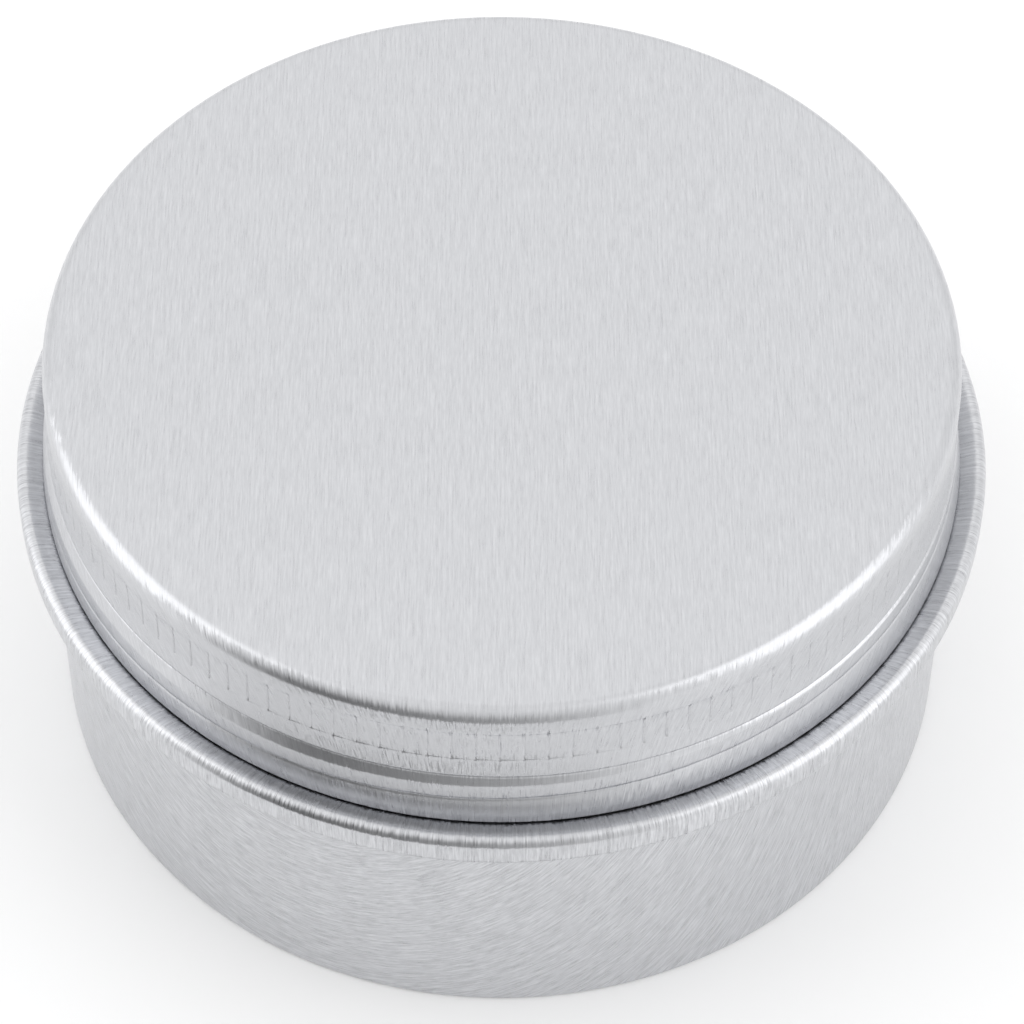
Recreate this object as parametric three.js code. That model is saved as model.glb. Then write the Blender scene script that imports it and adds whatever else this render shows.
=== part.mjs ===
// Round screw-top tin: a drawn aluminium can, its screw lid and the foam liner in the lid.
// Millimetres, +Z up. The origin is the middle of the base, on the surface the tin stands on.
// The thread is right-handed: turning the lid anticlockwise, seen from above, raises it.

import * as THREE from "three";

// Driving dimensions.
const sheetThickness = 0.35;
const facets = 48;

const can = {
  wallRadius: 39.2,
  baseCornerRadius: 0.5,
  basePanelRadius: 32.5,
  basePanelRise: 0.4,
  basePanelStep: 0.8,
  wallTop: 22.6,
  beadRadius: 41.5,
  beadTop: 27.65,
  beadTopRoll: 0.82,
  beadFootRoll: 1.2,
  beadBand: 1.5,
  gutterRadius: 39.0,
  gutterHeight: 26.9,
  neckRadius: 37.0,
  neckFillet: 0.8,
  lipRadius: 0.8,
  height: 38.5,
};

const lid = {
  height: 40.8,
  topCornerRadius: 1.3,
  topRadius: 38.28,
  bandFoot: 32.6,
  bandFootRadius: 38.45,
  knurlFoot: 34.6,
  skirtTop: 31.7,
  skirtRadius: 38.67,
  hemTop: 29.0,
  hemRadius: 39.18,
  hemFoot: 27.25,
  curlRadius: 0.45,
};

const liner = { radius: 37.3, thickness: 1.2, gap: 0.35 };

const screw = {
  lead: 4.7,
  lidGrooveAtFront: 30.1,
  neckAboveLid: 1.4,
  lidDepth: 0.9,
  neckDepth: 0.6,
  halfWidth: 1.15,
  lidTurns: [-0.22, 0.6],
  neckTurns: [-0.3, 0.95],
  fadeTurns: 0.08,
  fadeHeight: 0.5,
  plainHeight: 0.6,
};

const frontAngle = -Math.PI / 2;
const degree = Math.PI / 180;

const aluminium = new THREE.MeshStandardMaterial({ color: 0xd2d4d6, metalness: 1, roughness: 0.35 });
const foam = new THREE.MeshStandardMaterial({ color: 0xf4f4f1, metalness: 0, roughness: 0.9 });

function point(radius, height) {
  return new THREE.Vector2(radius, height);
}

// Points on a circular arc in the section plane, angles in degrees from the outward direction.
function arc(centre, radius, startAngle, endAngle, steps) {
  const points = [];
  for (let i = 0; i <= steps; i++) {
    const angle = (startAngle + ((endAngle - startAngle) * i) / steps) * degree;
    points.push(point(centre.x + radius * Math.cos(angle), centre.y + radius * Math.sin(angle)));
  }
  return points;
}

// The same line moved to its left by a distance, each corner along its mitre.
function offsetLeft(line, distance) {
  const directions = line.slice(1).map((next, i) => next.clone().sub(line[i]).normalize());
  return line.map((corner, i) => {
    const before = directions[Math.max(i - 1, 0)];
    const after = directions[Math.min(i, directions.length - 1)];
    const mitre = before.clone().add(after).normalize();
    const reach = distance / Math.max(mitre.dot(before), 0.5);
    return point(corner.x - mitre.y * reach, corner.y + mitre.x * reach);
  });
}

// A sheet-metal shell turned about Z. The outline is the outer skin with the metal on its left;
// it begins or ends on the axis, and the inner skin is the outline moved in by one thickness.
function turnedShell(outline) {
  const innerSkin = offsetLeft(outline, sheetThickness).reverse();
  const section = outline[0].x === 0 ? [...outline, ...innerSkin] : [...innerSkin, ...outline];
  return new THREE.LatheGeometry(section, facets).rotateX(Math.PI / 2);
}

function smoothStep(from, to, value) {
  return THREE.MathUtils.smoothstep(value, from, to);
}

// Presses a helical bead into a shell: positive depth stands out, negative depth goes in.
// The bead's middle is at heightAtFront on the front and climbs one lead per turn, and it fades
// out at both ends and below the height floor.
function rollThread(geometry, { heightAtFront, depth, turns, floor }) {
  const positions = geometry.attributes.position;
  const threadedFrom = can.neckRadius - 2 * can.lipRadius;
  const [firstTurn, lastTurn] = turns;
  for (let i = 0; i < positions.count; i++) {
    const x = positions.getX(i);
    const y = positions.getY(i);
    const z = positions.getZ(i);
    const radius = Math.hypot(x, y);
    if (radius < threadedFrom || z < floor) continue;
    const turnHere = (Math.atan2(y, x) - frontAngle) / (2 * Math.PI);
    let push = 0;
    for (let wrap = -1; wrap <= 1; wrap++) {
      const turn = turnHere + wrap;
      const offCentre = z - heightAtFront - screw.lead * turn;
      if (Math.abs(offCentre) >= screw.halfWidth) continue;
      const ends = smoothStep(firstTurn, firstTurn + screw.fadeTurns, turn)
        * (1 - smoothStep(lastTurn - screw.fadeTurns, lastTurn, turn));
      push += depth * ends * Math.cos((Math.PI * offCentre) / (2 * screw.halfWidth)) ** 2;
    }
    push *= smoothStep(floor, floor + screw.fadeHeight, z);
    positions.setXY(i, (x * (radius + push)) / radius, (y * (radius + push)) / radius);
  }
  geometry.computeVertexNormals();
  return geometry;
}

// Evenly spaced points up a straight or slightly sloping wall.
function levels(radius, from, to, steps, endRadius = radius) {
  const points = [];
  for (let i = 0; i <= steps; i++) {
    const t = i / steps;
    points.push(point(radius + (endRadius - radius) * t, from + (to - from) * t));
  }
  return points;
}

function namedMesh(name, geometry, material) {
  const mesh = new THREE.Mesh(geometry, material);
  mesh.name = name;
  return mesh;
}

// Base with a raised panel, straight wall, shoulder bead, threaded neck and a lip curled inwards.
function makeCanBody() {
  const corner = point(can.wallRadius - can.baseCornerRadius, can.baseCornerRadius);
  const topRoll = point(can.beadRadius - can.beadTopRoll, can.beadTop - can.beadTopRoll);
  const footRoll = point(can.beadRadius - can.beadFootRoll, topRoll.y - can.beadBand);
  const fillet = point(can.neckRadius + can.neckFillet, can.gutterHeight + can.neckFillet);
  const lip = point(can.neckRadius - can.lipRadius, can.height - can.lipRadius);
  const outline = [
    point(0, can.basePanelRise),
    point(can.basePanelRadius, can.basePanelRise),
    point(can.basePanelRadius + can.basePanelStep, 0),
    ...arc(corner, can.baseCornerRadius, -90, 0, 2),
    point(can.wallRadius, can.wallTop),
    ...arc(footRoll, can.beadFootRoll, -60, 0, 2),
    ...arc(topRoll, can.beadTopRoll, 0, 90, 4),
    point(can.gutterRadius, can.gutterHeight),
    ...arc(fillet, can.neckFillet, -90, -180, 2),
    ...levels(can.neckRadius, fillet.y + screw.plainHeight, lip.y - screw.plainHeight, 10),
    ...arc(lip, can.lipRadius, 0, 270, 7),
  ];
  const shell = turnedShell(outline);
  return rollThread(shell, {
    heightAtFront: screw.lidGrooveAtFront + screw.neckAboveLid,
    depth: screw.neckDepth,
    turns: screw.neckTurns,
    floor: can.gutterHeight + can.neckFillet,
  });
}

// Flat top, plain band, threaded skirt and a hem curled inwards, its outline listed hem first.
function makeScrewLid() {
  const curl = point(lid.hemRadius - lid.curlRadius, lid.hemFoot + lid.curlRadius);
  const corner = point(lid.topRadius - lid.topCornerRadius, lid.height - lid.topCornerRadius);
  const outline = [
    ...arc(curl, lid.curlRadius, -200, 0, 6),
    ...levels(lid.skirtRadius, lid.hemTop, lid.skirtTop, 4),
    ...levels(lid.bandFootRadius, lid.bandFoot, lid.knurlFoot, 2, lid.topRadius),
    ...arc(corner, lid.topCornerRadius, 0, 90, 4),
    point(0, lid.height),
  ];
  const shell = turnedShell(outline);
  return rollThread(shell, {
    heightAtFront: screw.lidGrooveAtFront,
    depth: -screw.lidDepth,
    turns: screw.lidTurns,
    floor: lid.hemTop - screw.fadeHeight,
  });
}

// Foam disc between the lid's top and the can's lip.
function makeLidLiner() {
  const top = lid.height - sheetThickness - liner.gap;
  const disc = new THREE.CylinderGeometry(liner.radius, liner.radius, liner.thickness, facets);
  return disc.rotateX(Math.PI / 2).translate(0, 0, top - liner.thickness / 2);
}

const tin = new THREE.Group();
tin.add(namedMesh("can_body", makeCanBody(), aluminium));
tin.add(namedMesh("lid_liner", makeLidLiner(), foam));
tin.add(namedMesh("screw_lid", makeScrewLid(), aluminium.clone()));

export default tin;
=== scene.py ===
import math

import bpy
import numpy as np
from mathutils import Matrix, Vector


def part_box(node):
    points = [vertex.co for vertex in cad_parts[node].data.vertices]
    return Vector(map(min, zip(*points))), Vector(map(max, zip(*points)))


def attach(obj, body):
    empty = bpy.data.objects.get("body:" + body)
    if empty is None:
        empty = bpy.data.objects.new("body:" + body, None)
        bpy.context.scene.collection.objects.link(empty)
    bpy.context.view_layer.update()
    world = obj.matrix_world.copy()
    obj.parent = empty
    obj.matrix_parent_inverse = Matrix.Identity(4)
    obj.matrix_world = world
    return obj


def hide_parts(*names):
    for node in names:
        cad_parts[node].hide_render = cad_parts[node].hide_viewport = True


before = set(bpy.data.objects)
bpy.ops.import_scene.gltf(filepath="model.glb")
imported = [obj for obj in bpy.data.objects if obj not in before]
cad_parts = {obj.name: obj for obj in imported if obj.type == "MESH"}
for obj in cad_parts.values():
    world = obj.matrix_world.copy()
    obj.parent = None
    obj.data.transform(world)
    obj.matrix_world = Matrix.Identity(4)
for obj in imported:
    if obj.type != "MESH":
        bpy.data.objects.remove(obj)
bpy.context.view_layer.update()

mm = 0.001
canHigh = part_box("can_body")[1]
lidLow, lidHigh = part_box("screw_lid")
linerLow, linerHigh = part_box("lid_liner")
across, tall = round(canHigh.x * 2 / mm, 1), round(lidHigh.z / mm, 1)
print("frame loaded, tin is", across, "mm across and", tall, "mm tall")


sheet = {
    "thickness": 0.35,      # drawn aluminium sheet
    "lead": 4.7,            # climb of the screw thread per turn
    "threadAtFront": 30.1,  # height of the lid's thread on the front (-Y) side
    "threadFade": 0.08,     # turns over which a thread rises at each end
}


def arcPoints(centreR, centreZ, radius, fromDeg, toDeg, steps):
    # circle: r = centreR + radius cos(a), z = centreZ + radius sin(a), a running evenly
    angle = np.radians(np.linspace(fromDeg, toDeg, steps + 1))
    return np.stack([centreR + radius * np.cos(angle), centreZ + radius * np.sin(angle)], 1)


def linePoints(start, end, steps):
    # straight blend between two points: start + t (end - start)
    t = np.linspace(0, 1, steps + 1)[:, None]
    return np.array(start) + t * (np.array(end) - np.array(start))


def curvePoints(start, startDir, end, endDir, steps):
    # cubic Hermite curve: leaves start along startDir and reaches end along endDir
    t = np.linspace(0, 1, steps + 1)[:, None]
    a, b, da, db = (np.array(v, float) for v in (start, end, startDir, endDir))
    return ((2 * t**3 - 3 * t**2 + 1) * a + (t**3 - 2 * t**2 + t) * da
            + (3 * t**2 - 2 * t**3) * b + (t**3 - t**2) * db)


def joinPoints(*parts):
    # one outline from its stretches, dropping a point that repeats the one before it
    line = np.concatenate(parts)
    step = np.linalg.norm(np.diff(line, axis=0), axis=1)
    return line[np.concatenate([[True], step > 1e-5])]


def outwardNormals(line):
    # right-hand normal of the outline: the tangent (dr, dz) turned to (dz, -dr)
    tangent = np.gradient(line, axis=0)
    tangent /= np.linalg.norm(tangent, axis=1)[:, None]
    return np.stack([tangent[:, 1], -tangent[:, 0]], 1)


def blankRadius(line):
    # radius of the flat disc with the same area as the metal from the axis out to each point:
    # b = sqrt(2 * integral of r ds), which is where that metal lay before it was drawn
    ds = np.linalg.norm(np.diff(line, axis=0), axis=1)
    area = (line[1:, 0] + line[:-1, 0]) * ds
    return np.sqrt(np.concatenate([[0], np.cumsum(area)]))


def smoothStep(low, high, value):
    # 3t^2 - 2t^3 between low and high
    t = np.clip((value - low) / (high - low), 0, 1)
    return t * t * (3 - 2 * t)


def helixBump(angle, z, atFront, halfWidth, firstTurn, lastTurn):
    # cosine-squared ridge round the line z = atFront + lead * turns, fading in and out at its ends;
    # angle is counted anticlockwise from the front
    fade = sheet["threadFade"]
    total = np.zeros(np.broadcast(angle, z).shape)
    for wrap in (-1, 0, 1):
        turn = angle / (2 * math.pi) + wrap
        off = z - atFront - sheet["lead"] * turn
        ridge = np.where(np.abs(off) < halfWidth, np.cos(math.pi * off / (2 * halfWidth)) ** 2, 0)
        ends = (smoothStep(firstTurn, firstTurn + fade, turn)
                * (1 - smoothStep(lastTurn - fade, lastTurn, turn)))
        total = total + ridge * ends
    return total


def turnedMesh(name, radii, heights, angles, uAcross, vAlong, place):
    # closed surface of revolution: x = r sin(a), y = -r cos(a), z = height, one column per angle;
    # its first and last rows are single points on the axis
    rows, cols = radii.shape
    ring = np.stack([radii * np.sin(angles), -radii * np.cos(angles), heights], 2)[1:-1] * mm
    verts = np.concatenate([
        [[0, 0, heights[0, 0] * mm]], ring.reshape(-1, 3), [[0, 0, heights[-1, 0] * mm]],
    ])
    inner = rows - 2
    index = 1 + np.arange(inner * cols).reshape(inner, cols)
    right = np.roll(index, -1, axis=1)
    quads = np.stack([index[:-1], right[:-1], right[1:], index[1:]], 2).reshape(-1, 4)
    startFan = np.stack([np.zeros(cols, int), right[0], index[0]], 1)
    endFan = np.stack([index[-1], right[-1], np.full(cols, len(verts) - 1)], 1)

    mesh = bpy.data.meshes.new(name)
    loops = np.concatenate([startFan.ravel(), quads.ravel(), endFan.ravel()])
    sizes = np.concatenate([np.full(cols, 3), np.full(len(quads), 4), np.full(cols, 3)])
    starts = np.concatenate([[0], np.cumsum(sizes)[:-1]])
    mesh.vertices.add(len(verts))
    mesh.vertices.foreach_set("co", verts.ravel())
    mesh.loops.add(len(loops))
    mesh.loops.foreach_set("vertex_index", loops)
    mesh.polygons.add(len(sizes))
    mesh.polygons.foreach_set("loop_start", starts)
    mesh.update(calc_edges=True)
    mesh.shade_smooth()

    # place: where the metal lay in the grain pattern, read by the material's noise
    spot = mesh.attributes.new("place", "FLOAT_VECTOR", "POINT")
    spotRows = np.concatenate([place[0, :1], place[1:-1].reshape(-1, 3), place[-1, :1]])
    spot.data.foreach_set("vector", (spotRows * mm).ravel())

    # grain: U runs across the brushing and V along it; the last column closes with its own values
    uvGrid = np.stack([uAcross, vAlong], 2)
    here, there = uvGrid[:, :-1], uvGrid[:, 1:]
    quadUv = np.stack([here[1:-2], there[1:-2], there[2:-1], here[2:-1]], 2).reshape(-1, 2)
    startUv = np.stack([here[0], there[1], here[1]], 1).reshape(-1, 2)
    endUv = np.stack([here[-2], there[-2], here[-1]], 1).reshape(-1, 2)
    layer = mesh.uv_layers.new(name="grain")
    layer.data.foreach_set("uv", (np.concatenate([startUv, quadUv, endUv]) * mm).ravel())
    return linkPiece(name, mesh)


def grainOnBlank(blank, angles, brushAngle):
    # straight brushing on the flat blank: across = b sin(a - brush), along = -b cos(a - brush)
    turned = angles - brushAngle
    across = blank * np.sin(turned)
    along = -blank * np.cos(turned)
    return across, along


def grainUpward(radius, run, angles):
    # brushing up the section: across = R a, along = distance run, wrapped on a circle for the noise
    across = radius * angles + 0 * run
    along = run + 0 * angles
    spot = np.stack([radius * np.sin(angles) + 0 * run, radius * np.cos(angles) + 0 * run, along], 2)
    return across, along, spot


def closedAngles(angles):
    # the same columns with the first one repeated a full turn later
    return np.append(angles, angles[0] + 2 * math.pi)


def hexColour(code):
    # sRGB hex to linear: c/12.92 below 0.04045, ((c + 0.055) / 1.055)^2.4 above
    parts = [int(code[i:i + 2], 16) / 255 for i in (1, 3, 5)]
    return [c / 12.92 if c <= 0.04045 else ((c + 0.055) / 1.055) ** 2.4 for c in parts] + [1]


def linkPiece(name, mesh):
    # one object for the mesh, at the origin
    piece = bpy.data.objects.new(name, mesh)
    bpy.context.scene.collection.objects.link(piece)
    return piece


def newMaterial(name):
    # a material with an empty node tree
    material = bpy.data.materials.new(name)
    material.use_nodes = True
    material.node_tree.nodes.clear()
    return material, material.node_tree


def addNode(tree, kind, values=None, links=None, **settings):
    # one node with its settings, its socket values and the outputs that feed it
    node = tree.nodes.new(kind)
    for key, value in settings.items():
        setattr(node, key, value)
    for socket, value in (values or {}).items():
        node.inputs[socket].default_value = value
    for socket, source in (links or {}).items():
        tree.links.new(source, node.inputs[socket])
    return node


brushed = {
    "light": "#DADBDE",        # crest of a brush line
    "dark": "#BABBBE",         # bottom of a brush line
    "lineWidth": 0.12,         # mm; real lines are near 0.03 mm, drawn wider so that they show
    "lineLength": 1.4,         # mm
    "longWidth": 0.20,         # mm, second set of longer lines
    "longLength": 4.5,         # mm
    "roughness": 0.30,
    "roughnessSwing": 0.08,
    "anisotropy": 0.35,
    "lean": 0.15,              # how far one brush line's slope leans from the next, as a tangent
    "bumpHeight": 0.0006,      # mm
    "noiseDetail": 3.0,
    "noiseFalloff": 0.62,      # strength of each finer layer of lines against the one before
    "toneSpread": 0.2,         # part of the noise's range between dark and light at contrast 1
}


def brushLines(tree, spot, width, length, seed):
    # noise stretched along the brushing: one unit is a line's width across and its length along
    wide, long = 1 / (width * mm), 1 / (length * mm)
    place = addNode(tree, "ShaderNodeMapping",
                    {"Scale": (wide, wide, long), "Location": (seed, seed, 0)}, {"Vector": spot})
    noise = addNode(tree, "ShaderNodeTexNoise",
                    {"Scale": 1.0, "Detail": brushed["noiseDetail"],
                     "Roughness": brushed["noiseFalloff"]},
                    {"Vector": place.outputs["Vector"]})
    return noise.outputs["Fac"]


def makeBrushedAluminium(name, seed, contrast):
    # Aluminium sheet brushed with a straight belt before drawing: bright, cool grey, with fine
    # parallel lines that smear reflections across them and lean a little one from the next.
    material, tree = newMaterial(name)
    spot = addNode(tree, "ShaderNodeAttribute", attribute_name="place").outputs["Vector"]
    short = brushLines(tree, spot, brushed["lineWidth"], brushed["lineLength"], seed)
    long = brushLines(tree, spot, brushed["longWidth"], brushed["longLength"], seed + 5)
    both = addNode(tree, "ShaderNodeMath", None, {0: short, 1: long}, operation="ADD")
    mean = addNode(tree, "ShaderNodeMath", {1: 0.5}, {0: both.outputs["Value"]}, operation="MULTIPLY")
    lines = mean.outputs["Value"]
    spread = brushed["toneSpread"] / contrast
    tone = addNode(tree, "ShaderNodeMapRange",
                   {"From Min": 0.5 - spread, "From Max": 0.5 + spread}, {"Value": lines})
    colour = addNode(tree, "ShaderNodeMix",
                     {"A": hexColour(brushed["dark"]), "B": hexColour(brushed["light"])},
                     {"Factor": tone.outputs["Result"]}, data_type="RGBA")
    rough = addNode(tree, "ShaderNodeMapRange",
                    {"From Min": 0.35, "From Max": 0.65,
                     "To Min": brushed["roughness"] - brushed["roughnessSwing"] / 2,
                     "To Max": brushed["roughness"] + brushed["roughnessSwing"] / 2},
                    {"Value": lines})

    # each line leans a little along the brushing: normal + lean * noise * (normal x tangent)
    tangent = addNode(tree, "ShaderNodeTangent", direction_type="UV_MAP", uv_map="grain")
    surface = addNode(tree, "ShaderNodeNewGeometry")
    alongDir = addNode(tree, "ShaderNodeVectorMath", None,
                       {0: surface.outputs["Normal"], 1: tangent.outputs["Tangent"]},
                       operation="CROSS_PRODUCT")
    leanAmount = addNode(tree, "ShaderNodeMapRange",
                         {"From Min": 0.3, "From Max": 0.7,
                          "To Min": -brushed["lean"], "To Max": brushed["lean"]},
                         {"Value": short}, clamp=False)
    leaning = addNode(tree, "ShaderNodeVectorMath", None,
                      {0: alongDir.outputs["Vector"], "Scale": leanAmount.outputs["Result"]},
                      operation="SCALE")
    leanedSum = addNode(tree, "ShaderNodeVectorMath", None,
                        {0: surface.outputs["Normal"], 1: leaning.outputs["Vector"]}, operation="ADD")
    leaned = addNode(tree, "ShaderNodeVectorMath", None, {0: leanedSum.outputs["Vector"]},
                     operation="NORMALIZE")
    bump = addNode(tree, "ShaderNodeBump", {"Strength": 1.0, "Distance": brushed["bumpHeight"] * mm},
                   {"Height": lines, "Normal": leaned.outputs["Vector"]})
    shader = addNode(tree, "ShaderNodeBsdfPrincipled",
                     {"Metallic": 1.0, "Anisotropic": brushed["anisotropy"]},
                     {"Base Color": colour.outputs["Result"], "Roughness": rough.outputs["Result"],
                      "Normal": bump.outputs["Normal"], "Tangent": tangent.outputs["Tangent"]})
    addNode(tree, "ShaderNodeOutputMaterial", None, {"Surface": shader.outputs["BSDF"]})
    return material


foam = {
    "colour": "#F2F2EE",
    "shade": "#DEDED8",
    "cell": 0.35,        # mm, width of one foam cell
    "bumpHeight": 0.05,  # mm
    "bumpStrength": 0.6,
    "roughness": 0.62,
    "ior": 1.51,         # polyethylene
    "glow": 0.2,         # share of light that enters the foam and comes out beside
    "glowDepth": 0.6,    # mm
}


def makeFoam():
    # Expanded polyethylene sheet: white, matt, with fine closed cells and a slightly waxy skin.
    material, tree = newMaterial("expandedPolyethylene")
    spot = addNode(tree, "ShaderNodeTexCoord")
    cells = addNode(tree, "ShaderNodeTexVoronoi", {"Scale": 1 / (foam["cell"] * mm)},
                    {"Vector": spot.outputs["Object"]}, feature="SMOOTH_F1")
    tone = addNode(tree, "ShaderNodeMix",
                   {"A": hexColour(foam["colour"]), "B": hexColour(foam["shade"])},
                   {"Factor": cells.outputs["Distance"]}, data_type="RGBA")
    bump = addNode(tree, "ShaderNodeBump",
                   {"Strength": foam["bumpStrength"], "Distance": foam["bumpHeight"] * mm},
                   {"Height": cells.outputs["Distance"]}, invert=True)
    shader = addNode(tree, "ShaderNodeBsdfPrincipled",
                     {"Roughness": foam["roughness"], "IOR": foam["ior"],
                      "Subsurface Weight": foam["glow"], "Subsurface Scale": foam["glowDepth"] * mm},
                     {"Base Color": tone.outputs["Result"], "Normal": bump.outputs["Normal"]})
    addNode(tree, "ShaderNodeOutputMaterial", None, {"Surface": shader.outputs["BSDF"]})
    return material


canShape = {
    "columns": 360,
    "wallRadius": 39.2,
    "baseCorner": 0.5,
    "panelRadius": 32.5,
    "panelRise": 0.4,
    "wallTop": 22.4,
    "bead": canHigh.x / mm,
    "beadTop": 27.65,
    "beadTopRoll": 0.82,
    "beadBand": 1.5,        # height of the bead's upright face
    "beadFootRoll": 1.2,
    "gutterRadius": 38.75,
    "gutter": 26.95,        # height of the channel between the bead and the neck
    "neckRadius": 37.0,
    "fillet": 0.8,
    "lipRadius": 0.8,
    "lipTop": canHigh.z / mm,
    "threadDepth": 0.6,
    "threadHalfWidth": 1.15,
    "threadAboveLids": 1.4,
    "threadTurns": (-0.3, 0.95),  # where it starts and ends, in turns from the front
    "brushAngle": math.radians(-115),
}


def makeCanBody():
    # section: base panel, foot, corner, wall, shoulder bead, gutter, neck and inward curl,
    # then the same line moved in by the sheet's thickness and walked back to the axis
    s = canShape
    corner = s["wallRadius"] - s["baseCorner"]
    topRoll = (s["bead"] - s["beadTopRoll"], s["beadTop"] - s["beadTopRoll"])
    footRoll = (s["bead"] - s["beadFootRoll"], topRoll[1] - s["beadBand"])
    gutter = s["gutter"]
    filletR = s["neckRadius"] + s["fillet"]
    lipR = s["neckRadius"] - s["lipRadius"]
    lipZ = s["lipTop"] - s["lipRadius"]
    footArc = arcPoints(*footRoll, s["beadFootRoll"], -70, 0, 10)
    outer = joinPoints(
        linePoints((0, s["panelRise"]), (s["panelRadius"] - 0.3, s["panelRise"]), 3),
        curvePoints((s["panelRadius"] - 0.3, s["panelRise"]), (0.9, 0),
                    (s["panelRadius"] + 0.9, 0), (0.9, 0), 7),
        linePoints((s["panelRadius"] + 0.9, 0), (corner, 0), 2),
        arcPoints(corner, s["baseCorner"], s["baseCorner"], -90, 0, 7),
        linePoints((s["wallRadius"], s["baseCorner"]), (s["wallRadius"], s["wallTop"]), 4),
        # two rows close together, because the grain turns from the wall's to the bead's between them
        linePoints((s["wallRadius"], s["wallTop"]), (s["wallRadius"], s["wallTop"] + 0.02), 1),
        curvePoints((s["wallRadius"], s["wallTop"] + 0.02), (0, 1.4), footArc[0], (1.3, 0.4), 8),
        footArc,
        linePoints(footArc[-1], (s["bead"], topRoll[1]), 3),
        arcPoints(*topRoll, s["beadTopRoll"], 0, 90, 14),
        curvePoints((topRoll[0], s["beadTop"]), (-1.3, -0.1),
                    (s["gutterRadius"], gutter), (-0.9, 0), 12),
        linePoints((s["gutterRadius"], gutter), (filletR, gutter), 2),
        arcPoints(filletR, gutter + s["fillet"], s["fillet"], -90, -180, 6),
        linePoints((s["neckRadius"], gutter + s["fillet"]), (s["neckRadius"], lipZ), 34),  # thread
        arcPoints(lipR, lipZ, s["lipRadius"], 0, 275, 22),
    )
    innerSkin = outer - sheet["thickness"] * outwardNormals(outer)
    innerSkin[0, 0] = 0
    section = np.concatenate([outer, innerSkin[::-1]])
    angles = np.linspace(0, 2 * math.pi, s["columns"], endpoint=False) - math.pi
    turns = closedAngles(angles)

    # the thread moves both skins of the neck, and fades out before the gutter and the lip
    z = section[:, 1]
    onNeck = (section[:, 0] < s["neckRadius"] + 0.1) & (z > gutter + 0.5) & (z < lipZ + 0.1)
    reach = np.where(onNeck, smoothStep(gutter + 1.0, gutter + 1.6, z), 0)[:, None]
    reach = reach * (1 - smoothStep(lipZ - 0.8, lipZ - 0.2, z))[:, None]
    bump = helixBump(angles[None, :], section[:, 1:], sheet["threadAtFront"] + s["threadAboveLids"],
                     s["threadHalfWidth"], *s["threadTurns"])
    radii = section[:, :1] + s["threadDepth"] * bump * reach
    heights = section[:, 1:] + 0 * radii

    blank = np.concatenate([blankRadius(outer), blankRadius(innerSkin)[::-1]])[:, None]
    across, along = grainOnBlank(blank, turns[None, :], s["brushAngle"])
    spot = np.stack([across, 0 * across, along], 2)
    steps = np.linalg.norm(np.diff(section, axis=0), axis=1)
    run = np.concatenate([[0], np.cumsum(steps)])[:, None]
    upAcross, upAlong, upSpot = grainUpward(s["wallRadius"], run, turns[None, :])
    rolled = (z > s["wallTop"] + 0.01)[:, None]
    across = np.where(rolled, upAcross, across)
    along = np.where(rolled, upAlong, along)
    spot = np.where(rolled[:, :, None], upSpot, spot)
    return turnedMesh("canShell", radii, heights, angles, across, along, spot[:, :-1])


lidShape = {
    "knurls": 126,
    "knurlColumns": (-0.09, -0.04, 0.0, 0.04, 0.09),  # parts of one knurl, close together at its crease
    "knurlCrease": 0.13,
    "creaseWidth": 0.04,     # of one knurl
    "knurlTwist": 0.045,
    "pressureAt": (-180, -75, -45, -25, 0, 20, 35, 50, 75, 180),  # degrees round from the front
    "pressure": (0.7, 0.6, 0.55, 0.7, 1.0, 0.9, 0.55, 0.3, 0.25, 0.7),  # the roll bites unevenly
    "knurlTop": 38.1,
    "knurlFoot": 34.85,
    "knurlRamp": 0.12,
    "top": lidHigh.z / mm,
    "topRadius": 38.28,
    "topCorner": 1.3,
    "bandFoot": 32.6,
    "bandFootRadius": 38.42,
    "ridge": 0.07,           # small step that stands out just under the band
    "flare": 0.08,           # how far the band's lower edge stands out over the skirt
    "skirtOut": 0.74,        # how much wider the skirt is just over the hem than at the band's foot
    "hemRadius": lidHigh.x / mm,
    "hemFoot": lidLow.z / mm - 0.15,
    "curl": 0.25,
    "waveHeights": (-1.6, -0.3, -0.1, 0.0, 0.1, 0.3, 1.65),   # mm above the rolled crease
    "waveDepths": (0.0, 0.0, -0.01, -0.09, 0.02, 0.045, 0.16),  # mm out from the plain skirt
    "innerThreadDepth": 0.9,
    "innerThreadHalfWidth": 1.15,
    "innerThreadTurns": (-0.22, 0.6),
    "waveStart": (-0.36, -0.26),   # turns from the front over which the rolled crease comes in
    "waveEnd": (0.42, 0.55),       # and goes out
    "waveFoot": 0.12,              # mm under the band over which it dies away
    "brushAngle": 0.0,
}


def knurlPush(angles, z):
    # facets round the lid: a V crease of even depth at each facet's edge, and a facet floor that is
    # deep at bottom left and top right, D ((1-p)(1-q) + p q) for p across and q up, 0 off the band
    s = lidShape
    pitch = 2 * math.pi / s["knurls"]
    p = np.mod(angles / pitch + 1e-6, 1)
    q = np.clip((z - s["knurlFoot"]) / (s["knurlTop"] - s["knurlFoot"]), 0, 1)
    floor = s["knurlTwist"] * ((1 - p) * (1 - q) + p * q)
    fromCrease = np.minimum(p, 1 - p)
    crease = s["knurlCrease"] * np.clip(1 - fromCrease / s["creaseWidth"], 0, 1)
    band = (smoothStep(s["knurlFoot"] - s["knurlRamp"], s["knurlFoot"], z)
            * (1 - smoothStep(s["knurlTop"], s["knurlTop"] + s["knurlRamp"], z)))
    pressure = np.interp(np.degrees(angles), s["pressureAt"], s["pressure"], period=360)
    return -(floor + crease) * band * pressure


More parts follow.
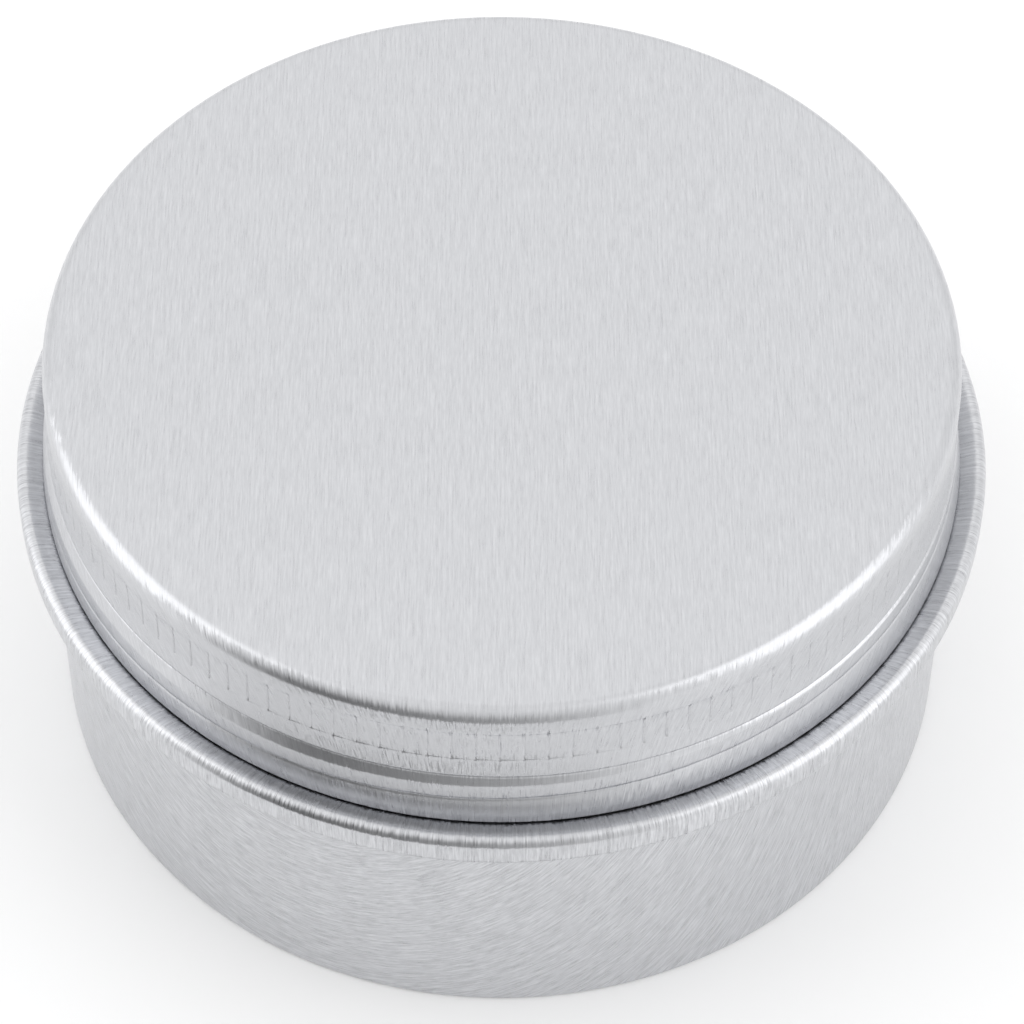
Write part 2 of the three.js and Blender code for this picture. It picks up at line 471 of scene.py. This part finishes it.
def skirtWave(angles, z):
    # rolled thread seen from outside, added to the plain skirt: a crease along the helix
    # z = threadAtFront + lead * turns, a crest above it that keeps its height up to 1.65 mm and then
    # falls away evenly to nothing at the band's foot; it fades in and out at the thread's two ends
    s = lidShape
    total = np.zeros(np.broadcast(angles, z).shape)
    crestEnd, crest = s["waveHeights"][-1], s["waveDepths"][-1]
    toFoot = np.clip((s["bandFoot"] - z) / s["waveFoot"], 0, 1)
    for wrap in (-1, 0, 1):
        turn = angles / (2 * math.pi) + wrap
        crease = sheet["threadAtFront"] + sheet["lead"] * turn
        wave = np.interp(z - crease, s["waveHeights"], s["waveDepths"])
        room = np.maximum(s["bandFoot"] - crease - crestEnd, s["waveFoot"])
        above = crest * np.clip((s["bandFoot"] - z) / room, 0, 1)
        wave = np.where(z - crease > crestEnd, above, wave)
        ends = smoothStep(*s["waveStart"], turn) * (1 - smoothStep(*s["waveEnd"], turn))
        total = total + wave * ends * toFoot
    return total


def makeScrewLid():
    # section: inner skin from the axis out and down, the hem's curl, then the outer skin back up
    s = lidShape
    corner = (s["topRadius"] - s["topCorner"], s["top"] - s["topCorner"])
    curl = (s["hemRadius"] - s["curl"], s["hemFoot"] + s["curl"])
    foot, footR = s["bandFoot"], s["bandFootRadius"]
    flareR, ridge = footR + s["flare"], s["ridge"]
    skirtR, skirtZ = footR + s["skirtOut"], curl[1] + 1.0
    bandR = s["topRadius"] + 0.06
    knurlLow, knurlHigh = s["knurlFoot"] - s["knurlRamp"], s["knurlTop"] + s["knurlRamp"]
    outer = joinPoints(
        arcPoints(*curl, s["curl"], -200, 0, 12),
        curvePoints((s["hemRadius"], curl[1]), (0, 0.5), (skirtR, skirtZ), (-0.16, 0.9), 6),
        linePoints((skirtR, skirtZ), (footR + ridge, foot - 0.15), 35),
        linePoints((footR + ridge, foot - 0.15), (footR - 0.02, foot - 0.03), 2),
        linePoints((footR - 0.02, foot - 0.03), (flareR, foot + 0.12), 2),
        curvePoints((flareR, foot + 0.12), (-0.12, 0.7), (bandR, knurlLow), (0, 1.0), 8),
        linePoints((bandR, knurlLow), (bandR, s["knurlFoot"]), 3),
        linePoints((bandR, s["knurlFoot"]), (bandR - 0.03, s["knurlTop"]), 5),
        linePoints((bandR - 0.03, s["knurlTop"]), (bandR - 0.03, knurlHigh), 3),
        linePoints((bandR - 0.03, knurlHigh), (s["topRadius"], corner[1]), 2),
        arcPoints(*corner, s["topCorner"], 0, 90, 14),
        linePoints((corner[0], s["top"]), (0, s["top"]), 5),
    )
    # inside the hem the skin keeps every row, and above it every second one
    hemRows = 13
    innerSkin = outer - sheet["thickness"] * outwardNormals(outer)
    innerSkin = np.concatenate([innerSkin[:hemRows], innerSkin[hemRows:][::2][:-1], innerSkin[-1:]])
    innerSkin[-1, 0] = 0
    section = np.concatenate([innerSkin[::-1], outer])
    isOuter = (np.arange(len(section)) >= len(innerSkin))[:, None]

    pitch = 2 * math.pi / s["knurls"]
    columns = np.arange(s["knurls"])[:, None] + np.array(s["knurlColumns"])[None, :]
    angles = columns.ravel() * pitch - math.pi
    turns = closedAngles(angles)
    z = section[:, 1:]
    skirtTop = s["hemFoot"] + 2 * s["curl"]
    onSkirt = (section[:, :1] > s["topRadius"] - 0.6) & (z > skirtTop)
    thread = helixBump(angles[None, :], z, sheet["threadAtFront"], s["innerThreadHalfWidth"],
                       *s["innerThreadTurns"])
    floorFade = smoothStep(skirtTop, skirtTop + 0.5, z)
    outerPush = skirtWave(angles[None, :], z) * floorFade + knurlPush(angles[None, :], z)
    push = np.where(isOuter, outerPush, -s["innerThreadDepth"] * thread * floorFade)
    radii = section[:, :1] + np.where(onSkirt, push, 0)
    heights = z + 0 * radii

    fromTop = blankRadius(outer[::-1])[::-1]
    fromTopInner = blankRadius(innerSkin[::-1])
    blank = np.concatenate([fromTopInner, fromTop])[:, None]
    across, along = grainOnBlank(blank, turns[None, :], s["brushAngle"])
    spot = np.stack([across, 0 * across, along], 2)
    return turnedMesh("lidShell", radii, heights, angles, across, along, spot[:, :-1])


linerShape = {
    "columns": 240,
    "edge": 0.15,
    "imprintRadius": 36.2,
    "imprintWidth": 0.7,
    "imprintDepth": 0.12,
}


def makeLiner():
    # flat disc with softened edges; a cosine-squared ring is pressed into its lower face by the lip
    s = linerShape
    radius, low, high = linerHigh.x / mm, linerLow.z / mm, linerHigh.z / mm
    across = np.concatenate([np.linspace(0, s["imprintRadius"] - 1, 8),
                             np.linspace(s["imprintRadius"] - 0.8, s["imprintRadius"] + 0.8, 17)])
    off = np.abs(across - s["imprintRadius"])
    dent = np.where(off < s["imprintWidth"],
                    s["imprintDepth"] * np.cos(math.pi * off / (2 * s["imprintWidth"])) ** 2, 0)
    under = np.stack([across, low + dent], 1)
    section = joinPoints(
        under,
        arcPoints(radius - s["edge"], low + s["edge"], s["edge"], -90, 0, 5),
        arcPoints(radius - s["edge"], high - s["edge"], s["edge"], 0, 90, 5),
        linePoints((radius - 0.5, high), (0, high), 6),
    )
    angles = np.linspace(0, 2 * math.pi, s["columns"], endpoint=False) - math.pi
    turns = closedAngles(angles)
    radii = section[:, :1] + 0 * angles[None, :]
    heights = section[:, 1:] + 0 * radii
    flat = blankRadius(section)[:, None]
    u, v = grainOnBlank(flat, turns[None, :], 0)
    spot = np.stack([u, 0 * u, v], 2)
    return turnedMesh("linerDisc", radii, heights, angles, u, v, spot[:, :-1])


canShell = makeCanBody()
canShell.data.materials.append(makeBrushedAluminium("brushedAluminiumCan", seed=2.0, contrast=2.0))
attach(canShell, "can")
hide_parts("can_body")
print("can shell:", len(canShell.data.polygons), "faces")

lidShell = makeScrewLid()
lidShell.data.materials.append(makeBrushedAluminium("brushedAluminiumLid", seed=11.0, contrast=0.9))
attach(lidShell, "lid")
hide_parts("screw_lid")
print("lid shell:", len(lidShell.data.polygons), "faces")

linerDisc = makeLiner()
linerDisc.data.materials.append(makeFoam())
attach(linerDisc, "liner")
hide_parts("lid_liner")
print("liner:", len(linerDisc.data.polygons), "faces")


view = {
    "distance": 351.1,      # mm from the point looked at
    "lift": 52.07,          # degrees above the horizon
    "aimHeight": 17.3,      # mm, height of the point on the tin's axis that is looked at
    "lens": 140.6,
    "shiftX": 0.0106,
    "roll": 0.30,           # degrees
}


def makeCamera():
    # place = aim + distance * (0, -cos lift, sin lift), turned down by the same lift
    lens = bpy.data.cameras.new("camera")
    lens.lens = view["lens"]
    lens.sensor_width = 36
    lens.shift_x = view["shiftX"]
    lens.clip_start = 0.01
    camera = bpy.data.objects.new("camera", lens)
    bpy.context.scene.collection.objects.link(camera)
    lift = math.radians(view["lift"])
    reach = np.array([0, -math.cos(lift), math.sin(lift)]) * view["distance"]
    camera.location = (reach + np.array([0, 0, view["aimHeight"]])) * mm
    camera.rotation_euler = (math.pi / 2 - lift, 0, 0)
    camera.rotation_euler.rotate_axis("Z", math.radians(view["roll"]))
    bpy.context.scene.camera = camera


studio = {
    "floor": "#F8F8F8",
    "floorRoughness": 0.9,
    "floorHalf": 1.5,         # metres
    "sky": 1.0,               # radiance of the white tent all round
    "leftRadiance": 0.78,     # each softbox adds this to the tent's light
    "rightRadiance": 0.82,
    "backRadiance": 0.12,
    "sideSize": (0.55, 1.1),  # metres
    "backSize": (1.2, 1.0),
    "leftPlace": (-0.68, 0.02, 0.36),
    "rightPlace": (0.64, -0.22, 0.34),
    "backPlace": (0, 0.55, 0.72),
    # front card: a glowing sheet seen only in reflections; its painted glow levels paint dark bands
    # into the tin's reflections
    "cardRadius": 0.077,      # metres from the tin's axis
    "cardHeights": (0, 0.030, 0.040, 0.052, 0.066, 0.090),  # metres
    "cardHeightShade": (0, 0, 0.1, 0.5, 0.8, 1),            # 0 dark, 1 as light as the tent
    "cardDegrees": (-52, -43, -33, -8, 6, 24),              # round from the front
    "cardShade": (1, 0.4, 0, 0.25, 0.45, 1),
    "cardDark": 0.14,
}


def makeFloor():
    # flat square on z = 0
    half = studio["floorHalf"]
    mesh = bpy.data.meshes.new("floor")
    corners = [(-half, -half, 0), (half, -half, 0), (half, half, 0), (-half, half, 0)]
    mesh.from_pydata(corners, [], [(0, 1, 2, 3)])
    material, tree = newMaterial("paperSweep")
    shader = addNode(tree, "ShaderNodeBsdfPrincipled",
                     {"Base Color": hexColour(studio["floor"]), "Roughness": studio["floorRoughness"]})
    addNode(tree, "ShaderNodeOutputMaterial", None, {"Surface": shader.outputs["BSDF"]})
    mesh.materials.append(material)
    linkPiece("floor", mesh)


def makeSoftbox(name, place, size, radiance):
    # rectangular area light at a place in metres facing the tin; power = radiance * pi * area
    light = bpy.data.lights.new(name, "AREA")
    light.shape = "RECTANGLE"
    light.size, light.size_y = size
    light.energy = radiance * math.pi * size[0] * size[1]
    lamp = bpy.data.objects.new(name, light)
    bpy.context.scene.collection.objects.link(lamp)
    lamp.location = place
    lamp.rotation_euler = (-Vector(place)).to_track_quat("-Z", "Y").to_euler()


def makeCard():
    # curved card standing in front of the tin, that only reflections see; it is not lit but glows by
    # emission at painted levels from cardDark up to the tent's white, which paints the dark bands into
    # the tin's reflections. Its shade blends into the tent's
    # white at both ends and at the top: 1 - (1 - shade(angle)) (1 - shade(height))
    s = studio
    turn = np.linspace(s["cardDegrees"][0], s["cardDegrees"][-1], 45)
    rise = np.linspace(s["cardHeights"][0], s["cardHeights"][-1], 13)
    a = np.radians(turn)[None, :] + 0 * rise[:, None]
    x, y = s["cardRadius"] * np.sin(a), -s["cardRadius"] * np.cos(a)
    spots = np.stack([x, y, rise[:, None] + 0 * a], 2)
    index = np.arange(a.size).reshape(a.shape)
    quads = np.stack([index[:-1, :-1], index[:-1, 1:], index[1:, 1:], index[1:, :-1]], 2)
    mesh = bpy.data.meshes.new("frontCard")
    mesh.from_pydata(spots.reshape(-1, 3).tolist(), [], quads.reshape(-1, 4).tolist())
    across = np.interp(turn, s["cardDegrees"], s["cardShade"])[None, :]
    up = np.interp(rise, s["cardHeights"], s["cardHeightShade"])[:, None]
    shade = mesh.attributes.new("shade", "FLOAT", "POINT")
    shade.data.foreach_set("value", (1 - (1 - across) * (1 - up)).ravel())
    card = linkPiece("frontCard", mesh)
    card.visible_camera = False
    card.visible_diffuse = False
    card.visible_shadow = False
    # painted reflection: the card glows at its painted shade level instead of being lit
    material, tree = newMaterial("reflectionGlowCard")
    white = addNode(tree, "ShaderNodeAttribute", attribute_name="shade")
    level = addNode(tree, "ShaderNodeMapRange", {"To Min": s["cardDark"], "To Max": s["sky"]},
                    {"Value": white.outputs["Fac"]})
    glow = addNode(tree, "ShaderNodeEmission", None, {"Strength": level.outputs["Result"]})
    addNode(tree, "ShaderNodeOutputMaterial", None, {"Surface": glow.outputs["Emission"]})
    mesh.materials.append(material)


makeFloor()
makeCard()
makeCamera()
makeSoftbox("leftSoftbox", studio["leftPlace"], studio["sideSize"], studio["leftRadiance"])
makeSoftbox("rightSoftbox", studio["rightPlace"], studio["sideSize"], studio["rightRadiance"])
makeSoftbox("backSoftbox", studio["backPlace"], studio["backSize"], studio["backRadiance"])
print("floor, card, camera and three softboxes in place")

world = bpy.data.worlds.new("studio")
world.use_nodes = True
bpy.context.scene.world = world
tent = world.node_tree.nodes["Background"]
tent.inputs["Color"].default_value = (1, 1, 1, 1)
tent.inputs["Strength"].default_value = studio["sky"]
bpy.context.scene.view_settings.view_transform = "Standard"
